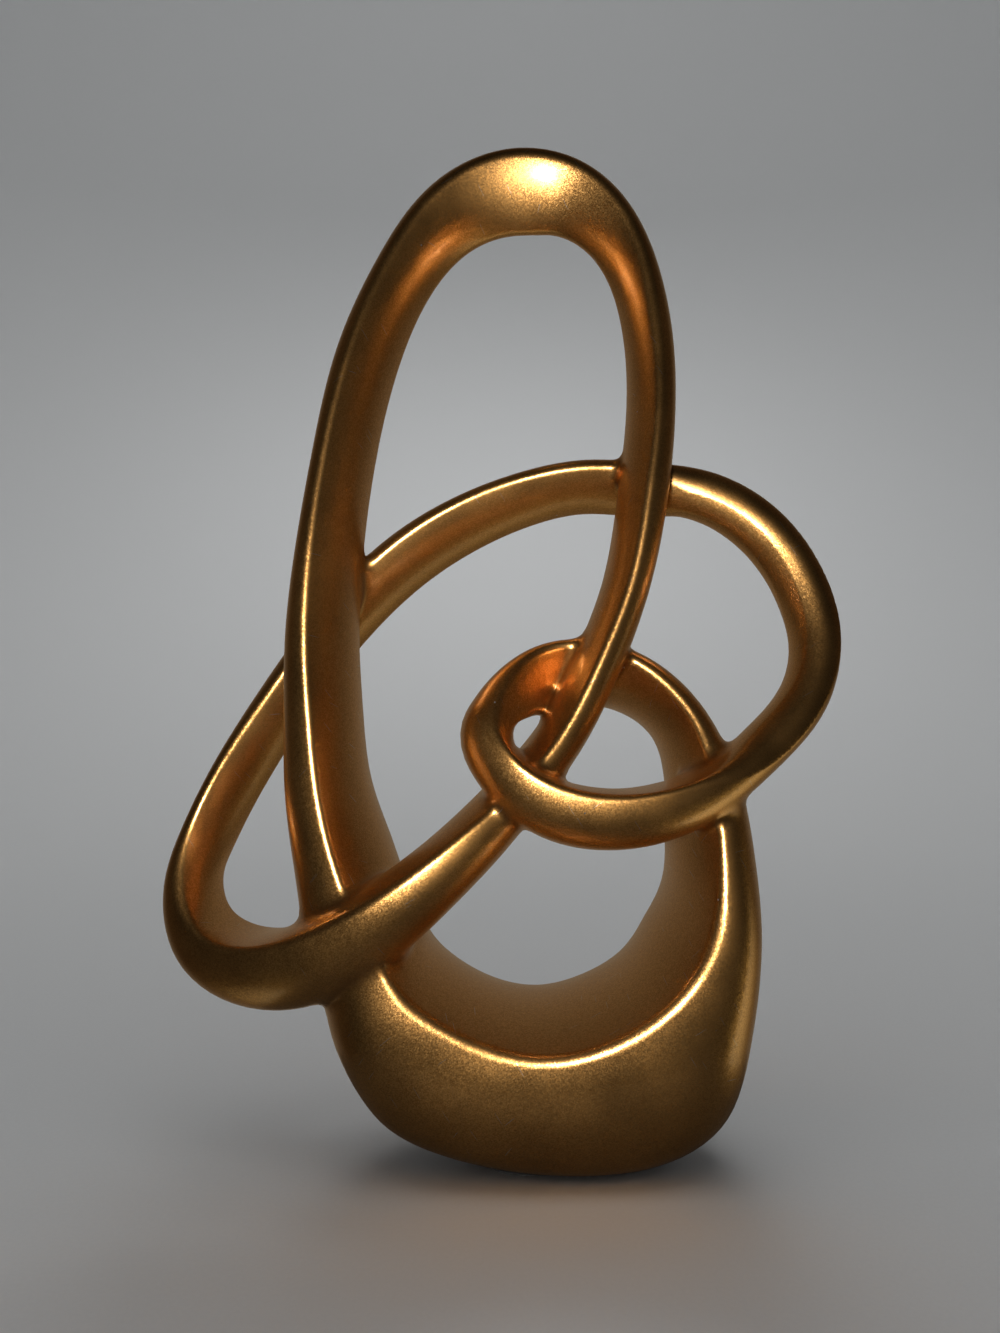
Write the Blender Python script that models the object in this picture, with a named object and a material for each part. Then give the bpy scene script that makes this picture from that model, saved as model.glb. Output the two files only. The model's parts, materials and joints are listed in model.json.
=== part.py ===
"""Abstract loop sculpture, modelled as its six cast lengths and what joins them.

The sculpture is one closed strand that loops over and under itself and widens
into a foot at the bottom. The strand has a D-shaped section: a nearly flat face
on the inner side of every loop, between a front ridge and a back ridge, and a
rounded body behind it. The section rolls as the strand travels, so the face
looks sideways in the foot and towards the front in the crown.

The strand is cast in six lengths. Each splice is hidden behind a crossing,
where a steel pin joins the two ends, and the strand in front rests in a saddle
cut in the lengths behind it. A felt pad is stuck under the foot.

Units are metres. +Z is up, the front faces -Y, and the origin is in the middle
of the underside of the felt pad.
"""

import math
from dataclasses import dataclass

import bmesh
import bpy
import numpy as np
from mathutils import Matrix, Vector

MM = 0.001

# Extent of the strand's front ridge: its greatest width and depth, and its top above the underside
ROUTE_WIDTH = 156.5 * MM
ROUTE_DEPTH = 36.0 * MM
ROUTE_HEIGHT = 248.8 * MM

# Felt pad under the foot
PAD_LENGTH = 35.0 * MM
PAD_DEPTH = 18.0 * MM
PAD_THICKNESS = 1.0 * MM
PAD_SIDES = 40

# Joints between the cast lengths
GLUE_LINE = 0.3 * MM
PIN_DIAMETER = 2.5 * MM
PIN_LENGTH = 12.0 * MM
PIN_CLEARANCE = 0.3 * MM
PIN_END_CLEARANCE = 0.5 * MM
PIN_SIDES = 16
PIN_AIM_REACH = 0.25 * PIN_LENGTH
SADDLE_REACH = 32.0 * MM

# Fineness of the lofted strand
RING_SPACING = 6.0 * MM
BODY_POINTS = 9
FACE_POINTS = 4
RIDGE_POINTS = 3
LARGEST_RIDGE_SHARE = 0.3
TRAVEL_STEP = 0.1 * MM
RIDGE_TURN_STEP = 0.01

# The foot is cut flat here, just above the felt pad, by a block with this side
UNDERSIDE_Z = PAD_THICKNESS + GLUE_LINE
UNDERSIDE_CUTTER_SIDE = 300.0 * MM

# Edges of the strand that bend more than this stay sharp
SHARP_EDGE_ANGLE = math.radians(35.0)

BACK = Vector((0.0, 1.0, 0.0))


@dataclass(frozen=True)
class Form:
    """Shape of the D section, apart from its size.

    Attributes:
        shoulder: Share of the body depth at which the body is widest.
        fullness: Exponent of the rounded body, 2 for an ellipse, more for a squarer one.
        crown: Rise of the face above a flat one, as a share of its width.
        ridge: Length of each side taken by the rounding of a ridge, in metres.
    """

    shoulder: float
    fullness: float
    crown: float
    ridge: float


FOOT_FORM = Form(shoulder=0.26, fullness=2.3, crown=0.080, ridge=2.0 * MM)
STRAP_FORM = Form(shoulder=0.14, fullness=2.1, crown=0.110, ridge=1.2 * MM)
SOFT_FORM = Form(shoulder=0.12, fullness=2.1, crown=0.110, ridge=1.8 * MM)
FLAT_FORM = Form(shoulder=0.06, fullness=2.1, crown=0.030, ridge=1.6 * MM)
ROUND_FORM = Form(shoulder=0.15, fullness=2.1, crown=0.170, ridge=5.0 * MM)
CROWN_FORM = Form(shoulder=0.20, fullness=2.1, crown=0.070, ridge=1.8 * MM)


@dataclass(frozen=True)
class Station:
    """One hand-placed point of the strand's front ridge, with the section there.

    Attributes:
        x: Place across, in millimetres from the middle of the foot.
        z: Height above the underside of the foot, in millimetres.
        y: Depth, in millimetres, less towards the front.
        face: Width of the face between the two ridges, in millimetres.
        body: Depth of the rounded body behind the face, in millimetres.
        roll: Turn of the face in degrees, 0 to the front and 90 to the inner side.
        form: Shape of the section.
        name: Name of the place, where a crossing needs one.
    """

    x: float
    z: float
    y: float
    face: float
    body: float
    roll: float
    form: Form
    name: str = ""


# Each length runs from its first station to the first station of the next one
CAST_LENGTHS = {
    "base_casting": (
        Station(-45.5, 61.0, -20.0, 41.5, 20.0, 80.0, STRAP_FORM),
        Station(-40.0, 51.5, -22.0, 45.5, 22.0, 83.0, STRAP_FORM),
        Station(-34.5, 44.5, -22.9, 46.5, 27.0, 85.0, FOOT_FORM),
        Station(-27.0, 39.0, -23.3, 47.5, 33.2, 87.0, FOOT_FORM),
        Station(-16.5, 34.0, -23.3, 47.5, 34.2, 88.0, FOOT_FORM),
        Station(-3.5, 31.5, -23.3, 47.5, 34.5, 88.0, FOOT_FORM),
        Station(11.0, 34.5, -23.3, 47.5, 38.8, 87.0, FOOT_FORM),
        Station(22.0, 41.0, -23.3, 47.5, 35.6, 86.0, FOOT_FORM),
        Station(29.5, 48.5, -22.4, 46.0, 24.2, 83.0, FOOT_FORM),
        Station(34.5, 60.0, -21.6, 44.0, 16.2, 83.0, FOOT_FORM),
        Station(36.5, 75.0, -19.0, 41.5, 13.0, 82.0, STRAP_FORM),
    ),
    "curl_arch_casting": (
        Station(36.0, 88.5, -15.0, 36.5, 11.0, 81.0, STRAP_FORM),
        Station(33.0, 104.0, -8.0, 30.0, 8.0, 75.0, STRAP_FORM),
        Station(24.5, 115.5, -3.0, 27.0, 7.5, 64.0, STRAP_FORM),
    ),
    "ring_casting": (
        Station(12.0, 122.6, 0.0, 26.3, 6.2, 53.5, STRAP_FORM),
        Station(-0.9, 122.7, -1.0, 26.9, 5.4, 53.6, STRAP_FORM),
        Station(-9.9, 117.3, -8.0, 23.6, 7.2, 53.5, STRAP_FORM),
        Station(-14.1, 108.2, -17.0, 25.1, 11.0, 65.9, STRAP_FORM),
        Station(-13.9, 103.6, -20.8, 26.0, 11.6, 79.0, STRAP_FORM),
        Station(-11.0, 99.5, -24.0, 22.0, 11.5, 87.0, FLAT_FORM),
        Station(-1.5, 93.0, -26.0, 22.0, 12.7, 93.0, FLAT_FORM, "over_low_leg"),
        Station(14.0, 90.1, -26.0, 22.0, 13.0, 93.0, FLAT_FORM),
        Station(31.0, 93.1, -23.0, 21.0, 11.2, 92.0, FLAT_FORM, "over_right_arm"),
        Station(46.5, 100.5, -17.0, 20.0, 8.0, 91.0, ROUND_FORM),
        Station(59.5, 113.0, -10.0, 18.0, 8.0, 84.0, ROUND_FORM),
        Station(65.5, 127.0, -4.0, 18.0, 7.5, 68.0, ROUND_FORM),
        Station(63.0, 144.5, 2.0, 16.5, 7.5, 50.0, ROUND_FORM),
        Station(53.0, 158.5, 6.0, 15.0, 8.5, 39.0, ROUND_FORM),
        Station(38.0, 166.5, 8.0, 14.5, 8.0, 38.0, ROUND_FORM),
    ),
    "back_arch_casting": (
        Station(24.5, 168.5, 9.0, 15.5, 7.0, 43.0, SOFT_FORM),
        Station(9.5, 169.0, 9.0, 16.5, 6.5, 50.0, STRAP_FORM),
        Station(-8.5, 166.0, 10.0, 16.5, 6.5, 47.0, STRAP_FORM),
        Station(-26.0, 159.0, 10.0, 17.0, 7.0, 45.0, STRAP_FORM),
        Station(-42.5, 148.0, 10.0, 17.0, 8.0, 44.0, STRAP_FORM),
    ),
    "left_loop_casting": (
        Station(-58.5, 131.0, 10.0, 16.5, 8.0, 46.0, STRAP_FORM),
        Station(-71.5, 112.5, 9.0, 16.0, 8.0, 48.0, STRAP_FORM),
        Station(-83.5, 94.5, 8.0, 16.5, 6.5, 47.0, STRAP_FORM),
        Station(-91.0, 76.5, 4.0, 18.0, 6.5, 57.0, STRAP_FORM),
        Station(-91.0, 64.6, -3.0, 20.0, 9.2, 69.0, SOFT_FORM),
        Station(-83.4, 55.3, -10.0, 20.5, 14.8, 81.0, FLAT_FORM),
        Station(-71.0, 54.2, -17.0, 23.0, 17.0, 92.0, FLAT_FORM),
        Station(-56.5, 59.0, -23.0, 25.0, 16.5, 96.0, SOFT_FORM),
        Station(-44.5, 65.5, -26.0, 26.0, 15.0, 94.0, SOFT_FORM, "over_left_foot"),
        Station(-30.0, 75.0, -25.0, 25.0, 12.5, 91.0, STRAP_FORM),
        Station(-18.0, 84.0, -21.0, 25.0, 11.0, 87.0, STRAP_FORM),
    ),
    "tall_loop_casting": (
        Station(-9.5, 91.0, -17.0, 27.0, 9.5, 85.0, STRAP_FORM),
        Station(0.5, 102.5, -13.0, 24.0, 8.5, 82.0, STRAP_FORM),
        Station(10.5, 121.0, -10.0, 17.5, 8.5, 74.0, STRAP_FORM, "over_curl"),
        Station(17.5, 138.5, -8.0, 17.0, 8.0, 72.0, STRAP_FORM),
        Station(22.0, 160.5, -6.0, 17.0, 8.5, 70.0, STRAP_FORM, "over_side_loop"),
        Station(25.0, 182.5, -2.0, 16.5, 8.0, 68.0, STRAP_FORM),
        Station(24.5, 207.5, 3.0, 14.8, 8.5, 62.0, SOFT_FORM),
        Station(17.9, 233.0, 7.0, 16.3, 9.0, 46.0, CROWN_FORM),
        Station(5.5, 246.0, 9.0, 19.4, 11.0, 36.0, CROWN_FORM),
        Station(-9.5, 248.8, 9.0, 20.3, 11.0, 33.0, CROWN_FORM),
        Station(-26.0, 241.5, 8.0, 19.4, 11.0, 40.0, CROWN_FORM),
        Station(-40.5, 222.0, 5.0, 18.0, 9.0, 50.0, SOFT_FORM),
        Station(-49.5, 198.0, 0.0, 19.0, 9.0, 57.0, STRAP_FORM),
        Station(-55.5, 170.0, -5.0, 20.5, 8.0, 60.0, STRAP_FORM),
        Station(-58.5, 143.5, -9.0, 22.5, 9.0, 63.0, STRAP_FORM),
        Station(-59.0, 124.5, -11.0, 24.5, 10.5, 66.0, STRAP_FORM, "over_back_arch"),
        Station(-57.5, 106.0, -13.0, 27.0, 12.0, 70.0, STRAP_FORM),
        Station(-55.0, 88.0, -15.0, 31.0, 14.0, 74.0, STRAP_FORM),
        Station(-49.5, 69.5, -18.0, 38.0, 17.5, 77.0, STRAP_FORM),
    ),
}


@dataclass(frozen=True)
class Crossing:
    """A place where the strand passes in front of a splice behind it.

    Attributes:
        over: Name of the station of the strand in front.
        behind: The length that ends at the splice.
        next_behind: The length that starts at the splice.
        pin: Name of the pin that joins the two ends.
        pin_along_face: Place of the pin along the face, as a share of its width.
        pin_into_body: Place of the pin behind the face, as a share of the body depth.
    """

    over: str
    behind: str
    next_behind: str
    pin: str
    pin_along_face: float
    pin_into_body: float


CROSSINGS = (
    Crossing("over_right_arm", "base_casting", "curl_arch_casting", "right_arm_pin", 0.6, 0.42),
    Crossing("over_curl", "curl_arch_casting", "ring_casting", "curl_pin", 0.58, 0.38),
    Crossing("over_side_loop", "ring_casting", "back_arch_casting", "side_loop_pin", 0.55, 0.38),
    Crossing("over_back_arch", "back_arch_casting", "left_loop_casting", "back_arch_pin", 0.55, 0.42),
    Crossing("over_low_leg", "left_loop_casting", "tall_loop_casting", "low_leg_pin", 0.64, 0.42),
    Crossing("over_left_foot", "tall_loop_casting", "base_casting", "left_foot_pin", 0.62, 0.46),
)

# Paint, steel and felt: colour, metallic share and roughness
GOLD_PAINT = ((0.36, 0.19, 0.05, 1.0), 0.85, 0.38)
PIN_STEEL = ((0.55, 0.55, 0.56, 1.0), 1.0, 0.30)
BLACK_FELT = ((0.02, 0.02, 0.022, 1.0), 0.0, 0.95)


def clear_scene() -> None:
    """Remove every object that the scene starts with."""
    for thing in list(bpy.data.objects):
        bpy.data.objects.remove(thing, do_unlink=True)


class ClosedCurve:
    """A smooth closed curve through values that are given at growing places."""

    def __init__(self, places: np.ndarray, length: float, values: np.ndarray) -> None:
        """Solve for the bend at each knot of a periodic cubic spline.

        Args:
            places: Distance of each knot along the curve.
            length: Distance once round the curve.
            values: One row of values for each knot.
        """
        self.places = places
        self.length = length
        self.values = values
        self.gaps = np.diff(np.append(places, length))
        count = len(places)
        matrix = np.zeros((count, count))
        right = np.zeros_like(values)
        for here in range(count):
            before = here - 1
            after = (here + 1) % count
            matrix[here, before] += self.gaps[before]
            matrix[here, here] += 2.0 * (self.gaps[before] + self.gaps[here])
            matrix[here, after] += self.gaps[here]
            rise_after = (values[after] - values[here]) / self.gaps[here]
            rise_before = (values[here] - values[before]) / self.gaps[before]
            right[here] = 6.0 * (rise_after - rise_before)
        self.bends = np.linalg.solve(matrix, right)

    def at(self, place: float) -> np.ndarray:
        """Return the values at a distance along the curve."""
        place = place % self.length
        here = int(np.searchsorted(self.places, place, side="right")) - 1
        after = (here + 1) % len(self.places)
        gap = self.gaps[here]
        gone = place - self.places[here]
        left = gap - gone
        cubic = (self.bends[after] * gone**3 + self.bends[here] * left**3) / (6.0 * gap)
        start = (self.values[here] / gap - self.bends[here] * gap / 6.0) * left
        end = (self.values[after] / gap - self.bends[after] * gap / 6.0) * gone
        return cubic + start + end


class Strand:
    """The whole closed strand, which gives a section at any place along it."""

    def __init__(self, lengths: dict[str, tuple[Station, ...]]) -> None:
        """Join the stations of all lengths into one smooth closed curve.

        Args:
            lengths: Stations of each cast length, in order along the strand.
        """
        stations = [station for length in lengths.values() for station in length]
        ridge = self._ridge_points(stations)
        steps = np.linalg.norm(np.roll(ridge, -1, axis=0) - ridge, axis=1)
        places = np.concatenate(([0.0], np.cumsum(steps)[:-1]))
        sizes = np.array([self._section_sizes(station) for station in stations])
        self.length = float(steps.sum())
        self.curve = ClosedCurve(places, self.length, np.hstack((ridge, sizes)))
        self.named_places = {
            station.name: place for station, place in zip(stations, places) if station.name
        }
        self.starts = {}
        first = 0
        for name, length in lengths.items():
            self.starts[name] = float(places[first])
            first += len(length)

    @staticmethod
    def _ridge_points(stations: list[Station]) -> np.ndarray:
        placed = np.array([(station.x * MM, station.y * MM, station.z * MM) for station in stations])
        width = placed[:, 0].max() - placed[:, 0].min()
        depth = placed[:, 1].max() - placed[:, 1].min()
        height = placed[:, 2].max()
        stretch = np.array((ROUTE_WIDTH / width, ROUTE_DEPTH / depth, ROUTE_HEIGHT / height))
        return placed * stretch + np.array((0.0, 0.0, UNDERSIDE_Z))

    @staticmethod
    def _section_sizes(station: Station) -> tuple[float, ...]:
        form = station.form
        return (
            station.face * MM,
            station.body * MM,
            math.radians(station.roll),
            form.shoulder,
            form.fullness,
            form.crown,
            form.ridge,
        )

    def span(self, name: str) -> tuple[float, float]:
        """Return the places where a cast length starts and ends."""
        names = list(self.starts)
        following = names[(names.index(name) + 1) % len(names)]
        start = self.starts[name]
        end = self.starts[following]
        return (start, end if end > start else end + self.length)

    def travel(self, place: float) -> Vector:
        """Return the direction of travel at a place, level with the picture plane."""
        ahead = self.curve.at(place + TRAVEL_STEP)
        behind = self.curve.at(place - TRAVEL_STEP)
        direction = Vector((ahead[0] - behind[0], 0.0, ahead[2] - behind[2]))
        return direction.normalized()

    def axes(self, place: float) -> tuple[Vector, Vector, Vector]:
        """Return the front ridge and the directions along and out of the face."""
        values = self.curve.at(place)
        roll = values[5]
        travel = self.travel(place)
        inner = Vector((-travel.z, 0.0, travel.x))
        along = inner * math.cos(roll) + BACK * math.sin(roll)
        outward = inner * math.sin(roll) - BACK * math.cos(roll)
        return (Vector(values[:3]), along, outward)

    def point(self, place: float, along_face: float, into_body: float) -> Vector:
        """Return a point of the section, given in shares of its width and depth."""
        values = self.curve.at(place)
        ridge, along, outward = self.axes(place)
        return ridge + along * (along_face * values[3]) - outward * (into_body * values[4])

    def ring(self, place: float, grown: float) -> list[Vector]:
        """Return the section's outline at a place, pushed outwards by an offset."""
        values = self.curve.at(place)
        ridge, along, outward = self.axes(place)
        outline = section_outline(values[3], values[4], Form(*values[6:10]))
        if grown:
            outline = pushed_outwards(outline, grown)
        return [ridge + along * p - outward * q for p, q in outline]


def section_outline(face: float, body: float, form: Form) -> list[tuple[float, float]]:
    """Return the D section as points, starting at the front ridge and round the body.

    Args:
        face: Width between the ridges.
        body: Depth of the body behind the face.
        form: Shape of the section.
    """
    shoulder = form.shoulder * body
    rounded = body - shoulder
    half_width = 0.5 * face / (1.0 - (shoulder / rounded) ** form.fullness) ** (1.0 / form.fullness)
    corner_angle = math.atan2(0.5 * face / half_width, -shoulder / rounded)

    def body_point(angle: float) -> np.ndarray:
        sine = math.sin(angle)
        cosine = math.cos(angle)
        size = (abs(sine) ** form.fullness + abs(cosine) ** form.fullness) ** (-1.0 / form.fullness)
        across = 0.5 * face - half_width * size * sine
        return np.array((across, shoulder + rounded * size * cosine))

    def face_point(share: float) -> np.ndarray:
        return np.array((face * share, -4.0 * form.crown * face * share * (1.0 - share)))

    def rounding(start: np.ndarray, corner: np.ndarray, end: np.ndarray) -> list[np.ndarray]:
        shares = [index / RIDGE_POINTS for index in range(RIDGE_POINTS)]
        return [(1 - t) ** 2 * start + 2 * t * (1 - t) * corner + t * t * end for t in shares]

    ridge = min(form.ridge, LARGEST_RIDGE_SHARE * face)
    ridge_share = ridge / face
    ridge_angle = 0.0
    while np.linalg.norm(body_point(corner_angle - ridge_angle) - body_point(corner_angle)) < ridge:
        ridge_angle += RIDGE_TURN_STEP
    first_angle = corner_angle - ridge_angle

    points = rounding(face_point(ridge_share), body_point(corner_angle), body_point(first_angle))
    for index in range(BODY_POINTS):
        points.append(body_point(first_angle * (1.0 - 2.0 * index / BODY_POINTS)))
    points += rounding(body_point(-first_angle), body_point(-corner_angle), face_point(1.0 - ridge_share))
    for index in range(FACE_POINTS):
        share = 1.0 - ridge_share - (1.0 - 2.0 * ridge_share) * index / FACE_POINTS
        points.append(face_point(share))
    return [(float(p), float(q)) for p, q in points]


def pushed_outwards(outline: list[tuple[float, float]], offset: float) -> list[tuple[float, float]]:
    """Move each point of a closed outline outwards by an offset."""
    moved = []
    for index, (p, q) in enumerate(outline):
        before = outline[index - 1]
        after = outline[(index + 1) % len(outline)]
        run = math.hypot(after[0] - before[0], after[1] - before[1])
        moved.append((p - offset * (after[1] - before[1]) / run, q + offset * (after[0] - before[0]) / run))
    return moved


def add_object(name: str, mesh: bpy.types.Mesh) -> bpy.types.Object:
    """Link a new object for a mesh to the scene."""
    thing = bpy.data.objects.new(name, mesh)
    bpy.context.scene.collection.objects.link(thing)
    return thing


def finished_mesh(name: str, shape: bmesh.types.BMesh) -> bpy.types.Mesh:
    """Turn a bmesh into a mesh with outward faces and free the bmesh."""
    bmesh.ops.recalc_face_normals(shape, faces=shape.faces)
    mesh = bpy.data.meshes.new(name)
    shape.to_mesh(mesh)
    shape.free()
    mesh.shade_smooth()
    mesh.set_sharp_from_angle(angle=SHARP_EDGE_ANGLE)
    return mesh


def lofted_stretch(
    name: str, strand: Strand, start: float, end: float, grown: float = 0.0
) -> bpy.types.Object:
    """Loft a closed solid along a stretch of the strand.

    Args:
        name: Name of the new object.
        strand: The strand that gives the sections.
        start: Place where the stretch starts.
        end: Place where it ends.
        grown: Offset of the surface, outwards.
    """
    steps = max(2, round((end - start) / RING_SPACING))
    shape = bmesh.new()
    rings = []
    for index in range(steps + 1):
        place = start + (end - start) * index / steps
        rings.append([shape.verts.new(point) for point in strand.ring(place, grown)])
    count = len(rings[0])
    for ring, following in zip(rings[:-1], rings[1:]):
        for index in range(count):
            after = (index + 1) % count
            shape.faces.new((ring[index], ring[after], following[after], following[index]))
    shape.faces.new(rings[0])
    shape.faces.new(rings[-1])
    return add_object(name, finished_mesh(name, shape))


def make_guide(thing: bpy.types.Object) -> bpy.types.Object:
    """Mark an object as a cutter that isn't part of the model."""
    thing.hide_render = True
    thing.display_type = "WIRE"
    return thing


def cut(thing: bpy.types.Object, cutter: bpy.types.Object) -> None:
    """Take a cutter out of an object with a Boolean modifier."""
    modifier = thing.modifiers.new(cutter.name, "BOOLEAN")
    modifier.operation = "DIFFERENCE"
    modifier.solver = "EXACT"
    modifier.object = cutter


def round_bar(name: str, diameter: float, length: float, centre: Vector, axis: Vector) -> bpy.types.Object:
    """Make a straight round bar, centred on a point and pointing along an axis."""
    turn = axis.to_track_quat("Z", "Y").to_matrix().to_4x4()
    shape = bmesh.new()
    bmesh.ops.create_cone(
        shape,
        cap_ends=True,
        segments=PIN_SIDES,
        radius1=0.5 * diameter,
        radius2=0.5 * diameter,
        depth=length,
        matrix=Matrix.Translation(centre) @ turn,
    )
    return add_object(name, finished_mesh(name, shape))


def paint(thing: bpy.types.Object, finish: tuple[tuple[float, ...], float, float]) -> None:
    """Give an object its own Principled material.

    Args:
        thing: The object.
        finish: Colour, metallic share and roughness.
    """
    colour, metallic, roughness = finish
    material = bpy.data.materials.new(f"{thing.name}_finish")
    material.use_nodes = True
    shader = material.node_tree.nodes["Principled BSDF"]
    shader.inputs["Base Color"].default_value = colour
    shader.inputs["Metallic"].default_value = metallic
    shader.inputs["Roughness"].default_value = roughness
    thing.data.materials.append(material)


def build_castings(strand: Strand) -> dict[str, bpy.types.Object]:
    """Loft the six cast lengths, with half a glue line left at each end."""
    castings = {}
    for name in CAST_LENGTHS:
        start, end = strand.span(name)
        casting = lofted_stretch(name, strand, start + 0.5 * GLUE_LINE, end - 0.5 * GLUE_LINE)
        paint(casting, GOLD_PAINT)
        castings[name] = casting
    return castings


def flatten_foot(base: bpy.types.Object) -> None:
    """Cut the foot flat at its underside."""
    shape = bmesh.new()
    bmesh.ops.create_cube(shape, size=UNDERSIDE_CUTTER_SIDE)
    drop = UNDERSIDE_Z - 0.5 * UNDERSIDE_CUTTER_SIDE
    bmesh.ops.translate(shape, verts=shape.verts, vec=(0.0, 0.0, drop))
    cut(base, make_guide(add_object("underside_cutter", finished_mesh("underside_cutter", shape))))


def cut_saddles(strand: Strand, castings: dict[str, bpy.types.Object]) -> None:
    """Cut each splice's two ends to take the strand that passes in front of them."""
    for crossing in CROSSINGS:
        middle = strand.named_places[crossing.over]
        name = f"{crossing.over}_cutter"
        cutter = lofted_stretch(name, strand, middle - SADDLE_REACH, middle + SADDLE_REACH, GLUE_LINE)
        make_guide(cutter)
        cut(castings[crossing.behind], cutter)
        cut(castings[crossing.next_behind], cutter)


def fit_pins(strand: Strand, castings: dict[str, bpy.types.Object]) -> None:
    """Put a steel pin across each splice, in a bore shared by the two ends."""
    for crossing in CROSSINGS:
        place = strand.starts[crossing.next_behind]
        centre = strand.point(place, crossing.pin_along_face, crossing.pin_into_body)
        ahead = strand.point(place + PIN_AIM_REACH, crossing.pin_along_face, crossing.pin_into_body)
        behind = strand.point(place - PIN_AIM_REACH, crossing.pin_along_face, crossing.pin_into_body)
        axis = (ahead - behind).normalized()
        pin = round_bar(crossing.pin, PIN_DIAMETER, PIN_LENGTH, centre, axis)
        paint(pin, PIN_STEEL)
        bore_diameter = PIN_DIAMETER + 2.0 * PIN_CLEARANCE
        bore_length = PIN_LENGTH + 2.0 * PIN_END_CLEARANCE
        bore = make_guide(round_bar(f"{crossing.pin}_bore", bore_diameter, bore_length, centre, axis))
        cut(castings[crossing.behind], bore)
        cut(castings[crossing.next_behind], bore)


def build_felt_pad() -> None:
    """Make the oval felt pad under the foot, with straight sides and round ends."""
    radius = 0.5 * PAD_DEPTH
    straight = 0.5 * PAD_LENGTH - radius
    shape = bmesh.new()
    outline = []
    for index in range(PAD_SIDES):
        angle = 2.0 * math.pi * (index + 0.5) / PAD_SIDES
        shift = math.copysign(straight, math.cos(angle))
        x = shift + radius * math.cos(angle)
        y = radius * math.sin(angle)
        outline.append(shape.verts.new((x, y, 0.0)))
    bottom = shape.faces.new(outline)
    top = bmesh.ops.extrude_face_region(shape, geom=[bottom])
    raised = [item for item in top["geom"] if isinstance(item, bmesh.types.BMVert)]
    bmesh.ops.translate(shape, verts=raised, vec=(0.0, 0.0, PAD_THICKNESS))
    pad = add_object("felt_pad", finished_mesh("felt_pad", shape))
    paint(pad, BLACK_FELT)


def main() -> None:
    """Build the sculpture."""
    clear_scene()
    strand = Strand(CAST_LENGTHS)
    castings = build_castings(strand)
    flatten_foot(castings["base_casting"])
    cut_saddles(strand, castings)
    fit_pins(strand, castings)
    build_felt_pad()


main()
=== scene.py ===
"""Looks of the abstract loop sculpture, around its fixed frame.

The sculpture is one closed strand that loops over and under itself. Its six
cast lengths are filled, sanded and painted as one body, so one continuous skin
stands for all of them, with a soft fillet wherever the strand meets itself. The
skin carries satin gold paint. A pressed felt pad lies under the foot, and steel
pins sit inside the splices.
"""

import json
import logging
import math
from dataclasses import dataclass
from enum import Enum
from functools import cache

import bmesh
import bpy
import numpy as np
from bpy.types import Material, Node, NodeOutputs, NodeSocket, Object, ShaderNodeTree
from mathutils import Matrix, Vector, noise
from mathutils.bvhtree import BVHTree

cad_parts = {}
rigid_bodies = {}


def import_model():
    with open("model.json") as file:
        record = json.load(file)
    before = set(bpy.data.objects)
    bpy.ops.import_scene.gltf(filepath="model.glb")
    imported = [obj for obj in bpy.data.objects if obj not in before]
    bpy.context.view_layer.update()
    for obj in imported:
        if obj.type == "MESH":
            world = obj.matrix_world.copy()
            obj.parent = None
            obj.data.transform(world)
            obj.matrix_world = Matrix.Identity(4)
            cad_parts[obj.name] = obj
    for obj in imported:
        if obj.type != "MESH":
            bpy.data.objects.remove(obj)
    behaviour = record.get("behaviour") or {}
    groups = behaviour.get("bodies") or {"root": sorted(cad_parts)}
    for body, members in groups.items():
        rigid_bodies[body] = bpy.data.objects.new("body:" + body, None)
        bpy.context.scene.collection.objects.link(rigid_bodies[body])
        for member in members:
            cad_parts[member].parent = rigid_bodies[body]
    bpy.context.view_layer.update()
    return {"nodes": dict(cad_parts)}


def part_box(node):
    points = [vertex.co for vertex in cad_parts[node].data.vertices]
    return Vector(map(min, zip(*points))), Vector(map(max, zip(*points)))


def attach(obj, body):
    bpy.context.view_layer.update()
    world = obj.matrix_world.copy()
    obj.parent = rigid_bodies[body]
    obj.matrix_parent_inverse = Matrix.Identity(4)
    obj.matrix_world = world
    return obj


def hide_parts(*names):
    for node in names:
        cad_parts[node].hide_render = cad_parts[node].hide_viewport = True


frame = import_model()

Colour = tuple[float, float, float, float]
Place = tuple[float, float, float]
Range = tuple[float, float]

LOG = logging.getLogger("loop_sculpture")
MM = 0.001
BODY = "root"

# How the sections and the rings of the strand are worked out
LARGEST_RIDGE_SHARE = 0.3
RIDGE_TURNS = 200
TRAVEL_STEP = 0.1 * MM

# Distances, shares of the way between two rings, and areas that count as nothing
SEAM_GAP = 0.001 * MM
PAPER_GAP = 0.1 * MM
RING_END = 0.001
TINY_AREA = 1e-30
TINY_LENGTH = 1e-9

# How deep a fillet is at its middle, as a share of its reach
FILLET_DEPTH = 0.25

# What the clouds give nearly everywhere, and how finely most of them are drawn
CLOUD_RANGE = (0.3, 0.7)
CLOUD_DETAIL = 3.0

# How the two sets of scratches are turned, and how much of its cell a scratch fills
SCRATCH_TURNS = ((0.3, 0.5, 0.2), (-0.9, 0.2, 1.1))
SCRATCH_CORE = 0.35


@dataclass(frozen=True)
class SectionShape:
    """Shape of the strand's D section, apart from its size.

    Attributes:
        shoulder: Share of the body depth at which the body is widest.
        fullness: Exponent of the rounded body, 2 for an ellipse, more for a squarer one.
        crown: Rise of the face above a flat one, as a share of its width.
        ridge: Length of each side taken by the rounding of a ridge, in metres.
    """

    shoulder: float
    fullness: float
    crown: float
    ridge: float


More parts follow.
